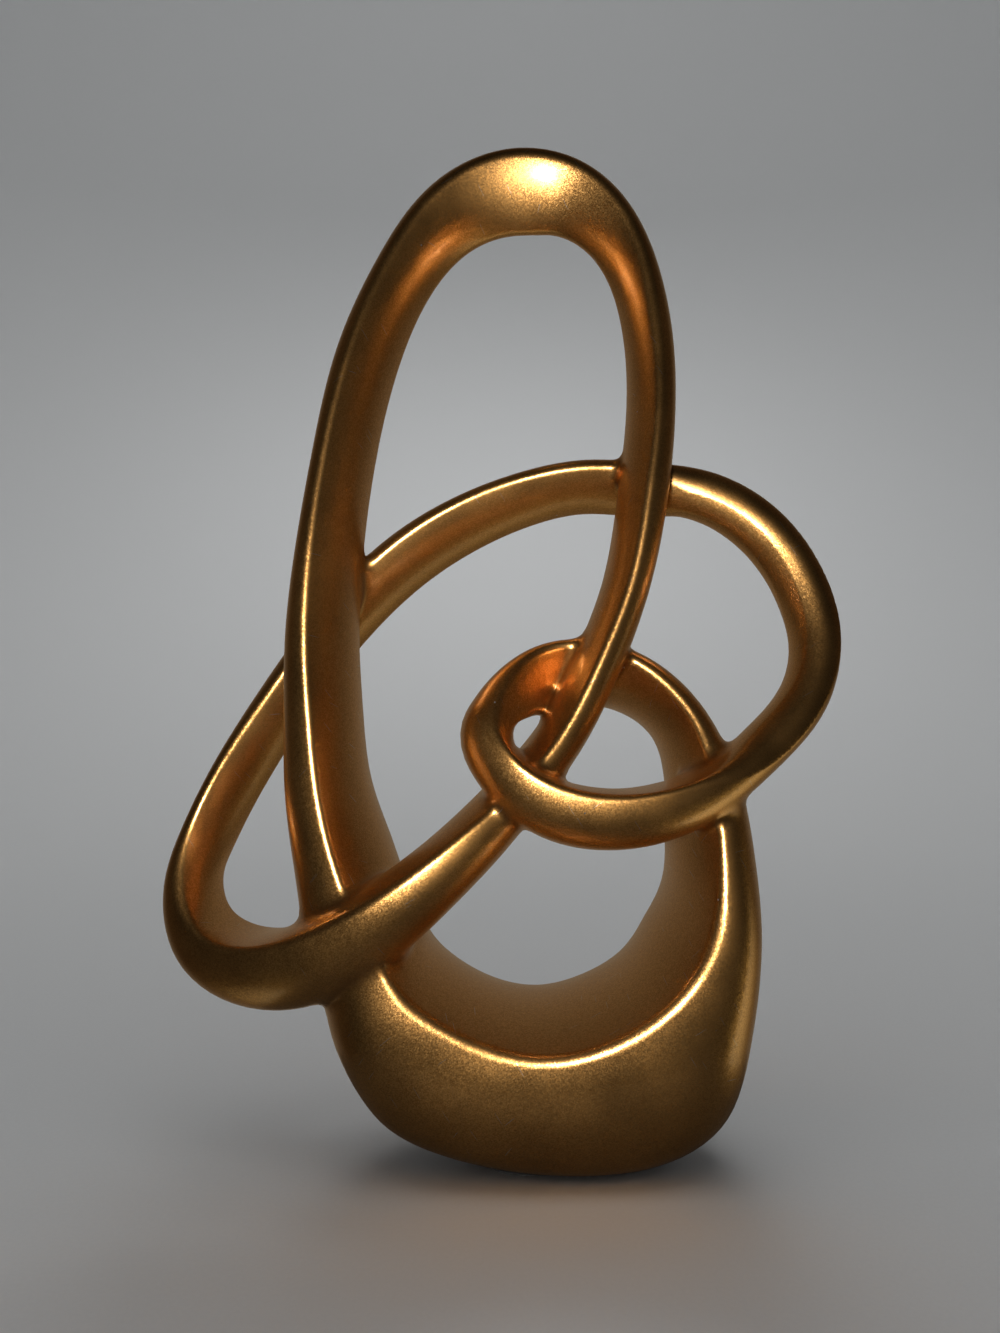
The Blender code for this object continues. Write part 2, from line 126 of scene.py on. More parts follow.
class Form(Enum):
    """The sections that the strand passes through."""

    FOOT = SectionShape(shoulder=0.26, fullness=2.3, crown=0.080, ridge=2.0 * MM)
    STRAP = SectionShape(shoulder=0.14, fullness=2.1, crown=0.110, ridge=1.2 * MM)
    SOFT = SectionShape(shoulder=0.12, fullness=2.1, crown=0.110, ridge=1.8 * MM)
    FLAT = SectionShape(shoulder=0.06, fullness=2.1, crown=0.030, ridge=1.6 * MM)
    ROUND = SectionShape(shoulder=0.15, fullness=2.1, crown=0.170, ridge=5.0 * MM)
    CROWN = SectionShape(shoulder=0.20, fullness=2.1, crown=0.070, ridge=1.8 * MM)


@dataclass(frozen=True)
class Station:
    """One point of the strand's front ridge, with the section there, in millimetres.

    Attributes:
        x: Place across, from the middle of the foot.
        z: Height above the underside of the foot.
        y: Depth, less towards the front.
        face: Width of the face between the two ridges.
        body: Depth of the rounded body behind the face.
        roll: Turn of the face in degrees, 0 to the front and 90 to the inner side.
        form: Shape of the section.
    """

    x: float
    z: float
    y: float
    face: float
    body: float
    roll: float
    form: Form


# The strand's stations, in order along it, with the values of a Station in each row
# A passage runs from its own first station to the first station of the next passage
STATIONS = {
    "left_foot": (
        (-49.5, 69.5, -18.0, 38.0, 17.5, 77.0, Form.STRAP),
        (-45.5, 61.0, -20.0, 41.5, 20.0, 80.0, Form.STRAP),
        (-40.0, 51.5, -22.0, 45.5, 22.0, 83.0, Form.STRAP),
        (-34.5, 44.5, -22.9, 46.5, 27.0, 85.0, Form.FOOT),
        (-27.0, 39.0, -23.3, 47.5, 33.2, 87.0, Form.FOOT),
        (-16.5, 34.0, -23.3, 47.5, 34.2, 88.0, Form.FOOT),
    ),
    "right_arm": (
        (-3.5, 31.5, -23.3, 47.5, 34.5, 88.0, Form.FOOT),
        (11.0, 34.5, -23.3, 47.5, 38.8, 87.0, Form.FOOT),
        (22.0, 41.0, -23.3, 47.5, 35.6, 86.0, Form.FOOT),
        (29.5, 48.5, -22.4, 46.0, 24.2, 83.0, Form.FOOT),
        (34.5, 60.0, -21.6, 44.0, 16.2, 83.0, Form.FOOT),
        (36.5, 75.0, -19.0, 41.5, 13.0, 82.0, Form.STRAP),
        (36.0, 88.5, -15.0, 36.5, 11.0, 81.0, Form.STRAP),
    ),
    "curl_top": (
        (33.0, 104.0, -8.0, 30.0, 8.0, 75.0, Form.STRAP),
        (24.5, 115.5, -3.0, 27.0, 7.5, 64.0, Form.STRAP),
        (12.0, 122.6, 0.0, 26.3, 6.2, 53.5, Form.STRAP),
        (-0.9, 122.7, -1.0, 26.9, 5.4, 53.6, Form.STRAP),
        (-9.9, 117.3, -8.0, 23.6, 7.2, 53.5, Form.STRAP),
        (-14.1, 108.2, -17.0, 25.1, 11.0, 65.9, Form.STRAP),
        (-13.9, 103.6, -20.8, 26.0, 11.6, 79.0, Form.STRAP),
    ),
    "curl_front": (
        (-11.0, 99.5, -24.0, 22.0, 11.5, 87.0, Form.FLAT),
        (-1.5, 93.0, -26.0, 22.0, 12.7, 93.0, Form.FLAT),
    ),
    "front_strand": (
        (14.0, 90.1, -26.0, 22.0, 13.0, 93.0, Form.FLAT),
        (31.0, 93.1, -23.0, 21.0, 11.2, 92.0, Form.FLAT),
        (46.5, 100.5, -17.0, 20.0, 8.0, 91.0, Form.ROUND),
    ),
    "side_loop": (
        (59.5, 113.0, -10.0, 18.0, 8.0, 84.0, Form.ROUND),
        (65.5, 127.0, -4.0, 18.0, 7.5, 68.0, Form.ROUND),
        (63.0, 144.5, 2.0, 16.5, 7.5, 50.0, Form.ROUND),
        (53.0, 158.5, 6.0, 15.0, 8.5, 39.0, Form.ROUND),
        (38.0, 166.5, 8.0, 14.5, 8.0, 38.0, Form.ROUND),
        (24.5, 168.5, 9.0, 15.5, 7.0, 43.0, Form.SOFT),
        (9.5, 169.0, 9.0, 16.5, 6.5, 50.0, Form.STRAP),
    ),
    "back_arch": (
        (-8.5, 166.0, 10.0, 16.5, 6.5, 47.0, Form.STRAP),
        (-26.0, 159.0, 10.0, 17.0, 7.0, 45.0, Form.STRAP),
        (-42.5, 148.0, 10.0, 17.0, 8.0, 44.0, Form.STRAP),
        (-58.5, 131.0, 10.0, 16.5, 8.0, 46.0, Form.STRAP),
        (-71.5, 112.5, 9.0, 16.0, 8.0, 48.0, Form.STRAP),
    ),
    "left_loop": (
        (-83.5, 94.5, 8.0, 16.5, 6.5, 47.0, Form.STRAP),
        (-91.0, 76.5, 4.0, 18.0, 6.5, 57.0, Form.STRAP),
        (-91.0, 64.6, -3.0, 20.0, 9.2, 69.0, Form.SOFT),
        (-83.4, 55.3, -10.0, 20.5, 14.8, 81.0, Form.FLAT),
        (-71.0, 54.2, -17.0, 23.0, 17.0, 92.0, Form.FLAT),
    ),
    "diagonal": (
        (-56.5, 59.0, -23.0, 25.0, 16.5, 96.0, Form.SOFT),
        (-44.5, 65.5, -26.0, 26.0, 15.0, 94.0, Form.SOFT),
        (-30.0, 75.0, -25.0, 25.0, 12.5, 91.0, Form.STRAP),
    ),
    "low_leg": (
        (-18.0, 84.0, -21.0, 25.0, 11.0, 87.0, Form.STRAP),
        (-9.5, 91.0, -17.0, 27.0, 9.5, 85.0, Form.STRAP),
        (0.5, 102.5, -13.0, 24.0, 8.5, 82.0, Form.STRAP),
    ),
    "right_leg": (
        (10.5, 121.0, -10.0, 17.5, 8.5, 74.0, Form.STRAP),
        (17.5, 138.5, -8.0, 17.0, 8.0, 72.0, Form.STRAP),
        (22.0, 160.5, -6.0, 17.0, 8.5, 70.0, Form.STRAP),
        (25.0, 182.5, -2.0, 16.5, 8.0, 68.0, Form.STRAP),
        (24.5, 207.5, 3.0, 14.8, 8.5, 62.0, Form.SOFT),
        (17.9, 233.0, 7.0, 16.3, 9.0, 46.0, Form.CROWN),
    ),
    "left_leg": (
        (5.5, 246.0, 9.0, 19.4, 11.0, 36.0, Form.CROWN),
        (-9.5, 248.8, 9.0, 20.3, 11.0, 33.0, Form.CROWN),
        (-26.0, 241.5, 8.0, 19.4, 11.0, 40.0, Form.CROWN),
        (-40.5, 222.0, 5.0, 18.0, 9.0, 50.0, Form.SOFT),
        (-49.5, 198.0, 0.0, 19.0, 9.0, 57.0, Form.STRAP),
        (-55.5, 170.0, -5.0, 20.5, 8.0, 60.0, Form.STRAP),
        (-58.5, 143.5, -9.0, 22.5, 9.0, 63.0, Form.STRAP),
        (-59.0, 124.5, -11.0, 24.5, 10.5, 66.0, Form.STRAP),
        (-57.5, 106.0, -13.0, 27.0, 12.0, 70.0, Form.STRAP),
        (-55.0, 88.0, -15.0, 31.0, 14.0, 74.0, Form.STRAP),
    ),
}


class ClosedCurve:
    """A smooth closed curve through rows of values that are given at growing places."""

    def __init__(self, places: np.ndarray, length: float, values: np.ndarray) -> None:
        """Solve for the bend at each knot of a periodic cubic spline.

        Args:
            places: Distance of each knot along the curve.
            length: Distance once round the curve.
            values: One row of values for each knot.
        """
        self.places = places
        self.length = length
        self.values = values
        self.gaps = np.diff(np.append(places, length))
        count = len(places)
        matrix = np.zeros((count, count))
        right = np.zeros_like(values)
        for here in range(count):
            before = here - 1
            after = (here + 1) % count
            matrix[here, before] += self.gaps[before]
            matrix[here, here] += 2.0 * (self.gaps[before] + self.gaps[here])
            matrix[here, after] += self.gaps[here]
            rise_after = (values[after] - values[here]) / self.gaps[here]
            rise_before = (values[here] - values[before]) / self.gaps[before]
            right[here] = 6.0 * (rise_after - rise_before)
        self.bends = np.linalg.solve(matrix, right)

    def at(self, places: np.ndarray) -> np.ndarray:
        """Return one row of values for each distance along the curve.

        Args:
            places: Distances along the curve, which may run past its end.

        Returns:
            The values there, one row for each place.
        """
        wrapped = np.mod(places, self.length)
        here = np.searchsorted(self.places, wrapped, side="right") - 1
        after = (here + 1) % len(self.places)
        gap = self.gaps[here][:, None]
        gone = wrapped[:, None] - self.places[here][:, None]
        left = gap - gone
        cubic = (self.bends[after] * gone**3 + self.bends[here] * left**3) / (6.0 * gap)
        start = (self.values[here] / gap - self.bends[here] * gap / 6.0) * left
        end = (self.values[after] / gap - self.bends[after] * gap / 6.0) * gone
        return cubic + start + end


@dataclass(frozen=True)
class SectionOutline:
    """Draws the D section as points, from the front ridge round the body and back along the face.

    Attributes:
        body_points: Points round the body.
        face_points: Points along the face.
        ridge_points: Points in the rounding of each ridge.
    """

    body_points: int
    face_points: int
    ridge_points: int

    @property
    def count(self) -> int:
        """Return how many points the outline has."""
        return self.body_points + self.face_points + 2 * self.ridge_points

    def points(self, face: float, body: float, shape: SectionShape) -> np.ndarray:
        """Return the outline, along the face and into the body.

        Args:
            face: Width between the ridges.
            body: Depth of the body behind the face.
            shape: Shape of the section.

        Returns:
            One row of two distances for each point.
        """
        shoulder = shape.shoulder * body
        rounded = body - shoulder
        power = shape.fullness
        half_width = 0.5 * face / (1.0 - (shoulder / rounded) ** power) ** (1.0 / power)
        corner_angle = math.atan2(0.5 * face / half_width, -shoulder / rounded)

        def body_curve(angles: np.ndarray) -> np.ndarray:
            """Return points of the rounded body, one for each angle from its middle."""
            size = (np.abs(np.sin(angles)) ** power + np.abs(np.cos(angles)) ** power) ** (-1.0 / power)
            across = 0.5 * face - half_width * size * np.sin(angles)
            return np.column_stack((across, shoulder + rounded * size * np.cos(angles)))

        def face_curve(shares: np.ndarray) -> np.ndarray:
            """Return points of the face's low arc, one for each share of its width."""
            return np.column_stack((face * shares, -4.0 * shape.crown * face * shares * (1.0 - shares)))

        def rounding(start: np.ndarray, corner: np.ndarray, end: np.ndarray) -> np.ndarray:
            """Return points of the curve that rounds a ridge off, from start to end."""
            t = (np.arange(self.ridge_points) / self.ridge_points)[:, None]
            return (1 - t) ** 2 * start + 2 * t * (1 - t) * corner + t * t * end

        ridge = min(shape.ridge, LARGEST_RIDGE_SHARE * face)
        share = ridge / face
        front = body_curve(np.array([corner_angle]))[0]
        rear = body_curve(np.array([-corner_angle]))[0]
        turns = np.linspace(0.0, 0.5 * corner_angle, RIDGE_TURNS)
        reach = np.linalg.norm(body_curve(corner_angle - turns) - front, axis=1)
        first_angle = corner_angle - turns[min(int(np.searchsorted(reach, ridge)), RIDGE_TURNS - 1)]
        body_start = body_curve(np.array([first_angle]))[0]
        body_end = body_curve(np.array([-first_angle]))[0]
        face_start, face_end = face_curve(np.array([share, 1.0 - share]))
        round_body = np.linspace(first_angle, -first_angle, self.body_points, endpoint=False)
        along_face = np.linspace(1.0 - share, share, self.face_points, endpoint=False)
        return np.vstack((
            rounding(face_start, front, body_start),
            body_curve(round_body),
            rounding(body_end, rear, face_end),
            face_curve(along_face),
        ))


class Strand:
    """The whole closed strand, as rings of points and their outward normals."""

    def __init__(self, outline: SectionOutline, ring_spacing: float, underside: float) -> None:
        """Lay the rings along the smooth closed curve through all stations.

        Args:
            outline: How each section is drawn.
            ring_spacing: Distance between rings, roughly.
            underside: Height of the underside of the foot.
        """
        stations = [Station(*row) for passage in STATIONS.values() for row in passage]
        ridge = np.array([(s.x * MM, s.y * MM, s.z * MM + underside) for s in stations])
        steps = np.linalg.norm(np.roll(ridge, -1, axis=0) - ridge, axis=1)
        places = np.concatenate(([0.0], np.cumsum(steps)[:-1]))
        sizes = np.array([
            (s.face * MM, s.body * MM, math.radians(s.roll), s.form.value.shoulder,
             s.form.value.fullness, s.form.value.crown, s.form.value.ridge)
            for s in stations
        ])
        length = float(steps.sum())
        curve = ClosedCurve(places, length, np.hstack((ridge, sizes)))
        self.ring_count = round(length / ring_spacing)
        ring_places = np.arange(self.ring_count) * length / self.ring_count
        self.points = self._rings(curve, ring_places, outline)
        self.normals = self._outward(self.points)
        self.ridge_nearness = self._nearness_to_ridges(outline)
        firsts = np.cumsum([0] + [len(passage) for passage in STATIONS.values()])[:-1]
        self.passage_starts = [int(places[first] / length * self.ring_count) for first in firsts]

    @staticmethod
    def _rings(curve: ClosedCurve, places: np.ndarray, outline: SectionOutline) -> np.ndarray:
        """Draw a section at each place along the strand.

        Args:
            curve: The front ridge, with the sizes and the form at each place.
            places: Where the sections stand along it.
            outline: How each section is drawn.

        Returns:
            The points, by ring, point and coordinate.
        """
        values = curve.at(places)
        travel = curve.at(places + TRAVEL_STEP)[:, :3] - curve.at(places - TRAVEL_STEP)[:, :3]
        travel[:, 1] = 0.0
        travel /= np.linalg.norm(travel, axis=1)[:, None]
        back = np.array((0.0, 1.0, 0.0))
        rings = []
        for (*ridge, face, body, roll, shoulder, fullness, crown, rounding), ahead in zip(values, travel):
            inner = np.array((-ahead[2], 0.0, ahead[0]))
            along = inner * math.cos(roll) + back * math.sin(roll)
            outward = inner * math.sin(roll) - back * math.cos(roll)
            drawn = outline.points(face, body, SectionShape(shoulder, fullness, crown, rounding))
            rings.append(np.array(ridge) + drawn[:, :1] * along - drawn[:, 1:] * outward)
        return np.array(rings)

    @staticmethod
    def _outward(points: np.ndarray) -> np.ndarray:
        """Work out the normals of the strand.

        Args:
            points: The points, by ring, point and coordinate.

        Returns:
            The outward unit normal at each point.
        """
        lengthwise = np.roll(points, -1, axis=0) - np.roll(points, 1, axis=0)
        around = np.roll(points, -1, axis=1) - np.roll(points, 1, axis=1)
        normals = np.cross(lengthwise, around)
        normals /= np.linalg.norm(normals, axis=2)[:, :, None]
        centres = points.mean(axis=1)[:, None, :]
        facing = np.sign(np.sum(normals * (points - centres), axis=2).mean())
        return normals * facing

    @staticmethod
    def _nearness_to_ridges(outline: SectionOutline) -> np.ndarray:
        """Work out how near each point of a section is to a ridge.

        Args:
            outline: How each section is drawn.

        Returns:
            1 in the middle of each ridge's rounding, and less on the way to where it ends.
        """
        front = 0.5 * outline.ridge_points
        rear = outline.ridge_points + outline.body_points + front
        index = np.arange(outline.count, dtype=float)
        gap_front = np.minimum(np.abs(index - front), outline.count - np.abs(index - front))
        gap_rear = np.abs(index - rear)
        return np.clip(1.0 - np.minimum(gap_front, gap_rear) / outline.ridge_points, 0.0, 1.0)


class SurfaceProbe:
    """Measures distances to one passage of the strand, with smooth normals."""

    def __init__(self, strand: Strand, first: int, last: int) -> None:
        """Build the tree of triangles from one ring to another.

        Args:
            strand: The strand.
            first: The ring that the passage starts at, which may be negative.
            last: The ring that it ends at, which may run past the last.
        """
        rings = np.arange(first, last + 1) % strand.ring_count
        width = strand.points.shape[1]
        self.points = strand.points[rings].reshape(-1, 3)
        self.normals = strand.normals[rings].reshape(-1, 3)
        self.ridge = np.tile(strand.ridge_nearness, len(rings))
        self.ring_numbers = np.repeat(np.arange(len(rings)), width)
        ring_starts = np.arange(len(rings) - 1)[:, None] * width
        near = (ring_starts + np.arange(width)).ravel()
        turned = (ring_starts + (np.arange(width) + 1) % width).ravel()
        lower = np.column_stack((near, turned, turned + width))
        upper = np.column_stack((near, turned + width, near + width))
        self.corners = np.vstack((lower, upper))
        self.tree = BVHTree.FromPolygons(self.points.tolist(), self.corners.tolist(), all_triangles=True)
        self.low = self.points.min(axis=0)
        self.high = self.points.max(axis=0)

    def measure(self, points: np.ndarray, reach: float) -> tuple[np.ndarray, np.ndarray, np.ndarray]:
        """Measure points against the passage.

        Args:
            points: The points, one row each.
            reach: Distance past which a point isn't measured.

        Returns:
            The signed distance of each point, less than nothing inside, the smooth
            normal at its nearest place, and how near that place is to a ridge.
        """
        distances = np.full(len(points), reach)
        normals = np.zeros_like(points)
        ridges = np.zeros(len(points))
        near_box = np.all((points > self.low - reach) & (points < self.high + reach), axis=1)
        found = []
        for index in np.flatnonzero(near_box):
            place, _, triangle, distance = self.tree.find_nearest(points[index], reach)
            if place is not None:
                found.append((index, triangle, place.x, place.y, place.z, distance))
        if not found:
            return distances, normals, ridges
        table = np.array(found)
        rows = table[:, 0].astype(int)
        corners = self.corners[table[:, 1].astype(int)]
        places = table[:, 2:5]
        weights = self._corner_weights(corners, places)
        smooth = np.einsum("nc,ncx->nx", weights, self.normals[corners])
        smooth /= np.linalg.norm(smooth, axis=1)[:, None]
        side = np.einsum("nx,nx->n", points[rows] - places, smooth)
        signed = np.where(side < 0.0, -table[:, 5], table[:, 5])
        ring_places = np.einsum("nc,nc->n", weights, self.ring_numbers[corners])
        past_end = (ring_places < RING_END) | (ring_places > self.ring_numbers[-1] - RING_END)
        distances[rows] = np.where(past_end, reach, signed)
        normals[rows] = smooth
        ridges[rows] = np.einsum("nc,nc->n", weights, self.ridge[corners])
        return distances, normals, ridges

    def _corner_weights(self, corners: np.ndarray, places: np.ndarray) -> np.ndarray:
        """Work out the share of a triangle's corners at a place on it.

        Args:
            corners: The three corners' numbers, one row for each triangle.
            places: The place on each triangle.

        Returns:
            The three shares, one row for each place.
        """
        a, b, c = (self.points[corners[:, k]] for k in range(3))
        ab, ac, ap = b - a, c - a, places - a
        d00 = np.einsum("nx,nx->n", ab, ab)
        d01 = np.einsum("nx,nx->n", ab, ac)
        d11 = np.einsum("nx,nx->n", ac, ac)
        d20 = np.einsum("nx,nx->n", ap, ab)
        d21 = np.einsum("nx,nx->n", ap, ac)
        area = np.maximum(d00 * d11 - d01 * d01, TINY_AREA)
        v = (d11 * d20 - d01 * d21) / area
        w = (d00 * d21 - d01 * d20) / area
        return np.clip(np.column_stack((1.0 - v - w, v, w)), 0.0, 1.0)


@dataclass
class Blend:
    """What the blended surface says of a set of points.

    Attributes:
        offset: Signed distance from the blended surface.
        normals: Its outward normals.
        crease: How deep each point lies in a fillet, from 0 to 1.
        ridge: How near each point lies to a ridge, from 0 to 1.
    """

    offset: np.ndarray
    normals: np.ndarray
    crease: np.ndarray
    ridge: np.ndarray


@dataclass
class CastBody:
    """The painted body: one skin over the six cast lengths, with fillets at the crossings.

    Attributes:
        ring_spacing: Distance between the rings that the skin is lofted through.
        outline: How finely each section is drawn.
        grain_size: Cell size of the remesh that fuses the strand where it meets itself.
        fillet: Reach of the fillet from each crossing, on both strands.
        triangle_budget: Most triangles that the skin keeps.
        foot_edge: Reach of the rounding round the flat underside.
        reach: Distance within which a passage is measured.
        overlap: How far past its ends a passage is measured.
        settlings: How often the skin is drawn on to the blended surface.
        least_slope: Least slope that a settling reckons with, where two normals cancel out.
    """

    ring_spacing: float = 1.6 * MM
    outline: SectionOutline = SectionOutline(body_points=40, face_points=18, ridge_points=9)
    grain_size: float = 0.62 * MM
    fillet: float = 3.2 * MM
    triangle_budget: int = 190_000
    foot_edge: float = 1.2 * MM
    reach: float = 7.0 * MM
    overlap: float = 8.0 * MM
    settlings: int = 3
    least_slope: float = 0.2

    def __post_init__(self) -> None:
        """Lay out the strand above the underside that the frame gives."""
        self.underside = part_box("base_casting")[0].z
        self.strand = Strand(self.outline, self.ring_spacing, self.underside)
        margin = round(self.overlap / self.ring_spacing)
        starts = self.strand.passage_starts
        ends = starts[1:] + [self.strand.ring_count]
        self.probes = [
            SurfaceProbe(self.strand, start - margin, end + margin) for start, end in zip(starts, ends)
        ]

    def lofted(self) -> Object:
        """Wrap a grid round the strand, as a closed tube that still runs through itself.

        Returns:
            The tube as a new object.
        """
        rings = self.strand.ring_count
        width = self.outline.count
        shape = bmesh.new()
        bmesh.ops.create_grid(shape, x_segments=rings, y_segments=width, size=1.0)
        for vert in shape.verts:
            ring = round(0.5 * (vert.co.x + 1.0) * rings) % rings
            around = round(0.5 * (vert.co.y + 1.0) * width) % width
            vert.co = self.strand.points[ring, around]
        bmesh.ops.remove_doubles(shape, verts=shape.verts, dist=SEAM_GAP)
        bmesh.ops.recalc_face_normals(shape, faces=shape.faces)
        return new_object("cast_body", shape)

    def fused(self, tube: Object) -> None:
        """Fuse the tube where it meets itself and thin it to its budget of triangles.

        Args:
            tube: The lofted tube.
        """
        remesh = tube.modifiers.new("fuse", "REMESH")
        remesh.mode = "VOXEL"
        remesh.voxel_size = self.grain_size * 1.0
        apply_modifiers(tube)
        triangles = 2 * len(tube.data.polygons)
        thin = tube.modifiers.new("thin", "DECIMATE")
        thin.ratio = min(1.0, self.triangle_budget / triangles)
        apply_modifiers(tube)
        drop_pockets(tube)

    def blend_at(self, points: np.ndarray) -> Blend:
        """Measure points against the surface that blends the passages and the flat underside.

        Args:
            points: The points, one row each.

        Returns:
            The blended surface there.
        """
        measured = [probe.measure(points, self.reach) for probe in self.probes]
        distances = np.array([item[0] for item in measured])
        count = len(self.probes)
        rows = np.arange(len(points))
        first = distances.argmin(axis=0)
        others = distances.copy()
        for neighbour in (-1, 0, 1):
            others[(first + neighbour) % count, rows] = self.reach
        second = others.argmin(axis=0)
        near = distances[first, rows]
        far = others[second, rows]
        normals = np.array([item[1] for item in measured])
        share = np.clip(1.0 - (far - near) / self.fillet, 0.0, 1.0)
        mixed = normals[first, rows] * (1.0 - 0.5 * share)[:, None]
        mixed += normals[second, rows] * (0.5 * share)[:, None]
        offset = near - FILLET_DEPTH * self.fillet * share**2
        ridge = np.array([item[2] for item in measured])[first, rows]
        depth = self.underside - points[:, 2]
        edge = np.clip(1.0 - np.abs(offset - depth) / self.foot_edge, 0.0, 1.0)
        flat = np.where(depth > offset, 1.0 - 0.5 * edge, 0.5 * edge)[:, None]
        mixed = mixed * (1.0 - flat) + np.array((0.0, 0.0, -1.0)) * flat
        offset = np.maximum(offset, depth) + FILLET_DEPTH * self.foot_edge * edge**2
        return Blend(offset, mixed, share, ridge * (1.0 - share))

    def settled(self, skin: Object) -> Blend:
        """Move each vertex of the skin on to the blended surface and give it that surface's normal.

        Args:
            skin: The fused skin.

        Returns:
            The blended surface at the finished vertices.
        """
        mesh = skin.data
        points = np.empty(len(mesh.vertices) * 3, np.float32)
        mesh.vertices.foreach_get("co", points)
        points = points.reshape(-1, 3).astype(float)
        for _ in range(self.settlings):
            blend = self.blend_at(points)
            slope = np.maximum(np.einsum("nx,nx->n", blend.normals, blend.normals), self.least_slope)
            points -= blend.normals * (blend.offset / slope)[:, None]
        blend = self.blend_at(points)
        blend.normals /= np.maximum(np.linalg.norm(blend.normals, axis=1), TINY_LENGTH)[:, None]
        mesh.vertices.foreach_set("co", points.astype(np.float32).ravel())
        mesh.update()
        mesh.shade_smooth()
        mesh.normals_split_custom_set_from_vertices(blend.normals.tolist())
        return blend

    def build(self) -> Object:
        """Build the painted body.

        Returns:
            The body as one piece.
        """
        skin = self.lofted()
        self.fused(skin)
        blend = self.settled(skin)
        add_values(skin, "ridge", blend.ridge)
        add_values(skin, "crease", blend.crease)
        return skin


def new_object(name: str, shape: bmesh.types.BMesh) -> Object:
    """Turn a bmesh into an object of the scene and free the bmesh.

    Args:
        name: Name of the new object.
        shape: The bmesh.

    Returns:
        The new object.
    """
    mesh = bpy.data.meshes.new(name)
    shape.to_mesh(mesh)
    shape.free()
    mesh.shade_smooth()
    thing = bpy.data.objects.new(name, mesh)
    bpy.context.scene.collection.objects.link(thing)
    return thing


def apply_modifiers(thing: Object) -> None:
    """Replace an object's mesh by what its modifiers make of it.

    Args:
        thing: The object.
    """
    evaluated = thing.evaluated_get(bpy.context.evaluated_depsgraph_get())
    finished = bpy.data.meshes.new_from_object(evaluated)
    old = thing.data
    thing.modifiers.clear()
    thing.data = finished
    bpy.data.meshes.remove(old)


def drop_pockets(thing: Object) -> None:
    """Delete every part of a mesh that isn't joined to its largest part.

    Args:
        thing: The object that has the mesh.
    """
    shape = bmesh.new()
    shape.from_mesh(thing.data)
    left = set(shape.verts)
    parts = []
    while left:
        part = {left.pop()}
        edge_of_part = list(part)
        while edge_of_part:
            vert = edge_of_part.pop()
            for edge in vert.link_edges:
                other = edge.other_vert(vert)
                if other in left:
                    left.remove(other)
                    part.add(other)
                    edge_of_part.append(other)
        parts.append(part)
    parts.sort(key=len)
    for pocket in parts[:-1]:
        bmesh.ops.delete(shape, geom=list(pocket), context="VERTS")
    shape.to_mesh(thing.data)
    shape.free()


def add_values(thing: Object, name: str, values: np.ndarray) -> None:
    """Store one number for each vertex, for the materials to read."""
    attribute = thing.data.attributes.new(name, "FLOAT", "POINT")
    attribute.data.foreach_set("value", values.astype(np.float32))


class NodeTree:
    """A shader node tree that is being filled."""

    def __init__(self, tree: ShaderNodeTree) -> None:
        """Start from a tree, with the nodes that it has."""
        self.tree = tree

    def feed(self, node: Node, inputs: dict) -> None:
        """Give a node's inputs what they take.

        Args:
            node: The node.
            inputs: What each input gets, a value or the socket that it is joined to.
        """
        for name, value in inputs.items():
            if isinstance(value, NodeSocket):
                self.tree.links.new(value, node.inputs[name])
            else:
                node.inputs[name].default_value = value

    def add(self, kind: str, inputs: dict, **settings: object) -> NodeOutputs:
        """Add a node.

        Args:
            kind: The node's type, without the part that all shader nodes share.
            inputs: What each input gets, a value or the socket that it is joined to.
            settings: The node's own settings.

        Returns:
            The new node's outputs.
        """
        node = self.tree.nodes.new(f"ShaderNode{kind}")
        for name, value in settings.items():
            setattr(node, name, value)
        self.feed(node, inputs)
        return node.outputs

    def group(self, tree: ShaderNodeTree, place: NodeSocket, **values: float) -> NodeOutputs:
        """Add a shared effect.

        Args:
            tree: The effect's node group.
            place: The coordinates that it is laid out in.
            values: What its other inputs get.

        Returns:
            The group's outputs.
        """
        return self.add("Group", {"Vector": place, **values}, node_tree=tree)

    def math(self, operation: str, first: object, second: object) -> NodeSocket:
        """Return the result of one sum on two numbers."""
        return self.add("Math", {0: first, 1: second}, operation=operation)[0]

    def vector(self, operation: str, inputs: dict) -> NodeOutputs:
        """Return the outputs of one sum on vectors."""
        return self.add("VectorMath", inputs, operation=operation)

    def spread(self, value: object, given: Range, wanted: Range = (0.0, 1.0)) -> NodeSocket:
        """Move a number from one range to another, held inside it.

        Args:
            value: The number.
            given: The range that it comes from.
            wanted: The range that it goes to.

        Returns:
            The moved number.
        """
        ends = dict(zip(("From Min", "From Max", "To Min", "To Max"), given + wanted))
        return self.add("MapRange", {"Value": value, **ends})["Result"]

    def mixed(self, share: object, first: object, second: object) -> NodeSocket:
        """Return a mix of two colours, all of the second where the share is 1."""
        return self.add("Mix", {0: share, 6: first, 7: second}, data_type="RGBA")[2]

    def bump(self, height: NodeSocket, **inputs: object) -> NodeSocket:
        """Return the normal of a surface that a height raises."""
        return self.add("Bump", {"Height": height, **inputs})[0]


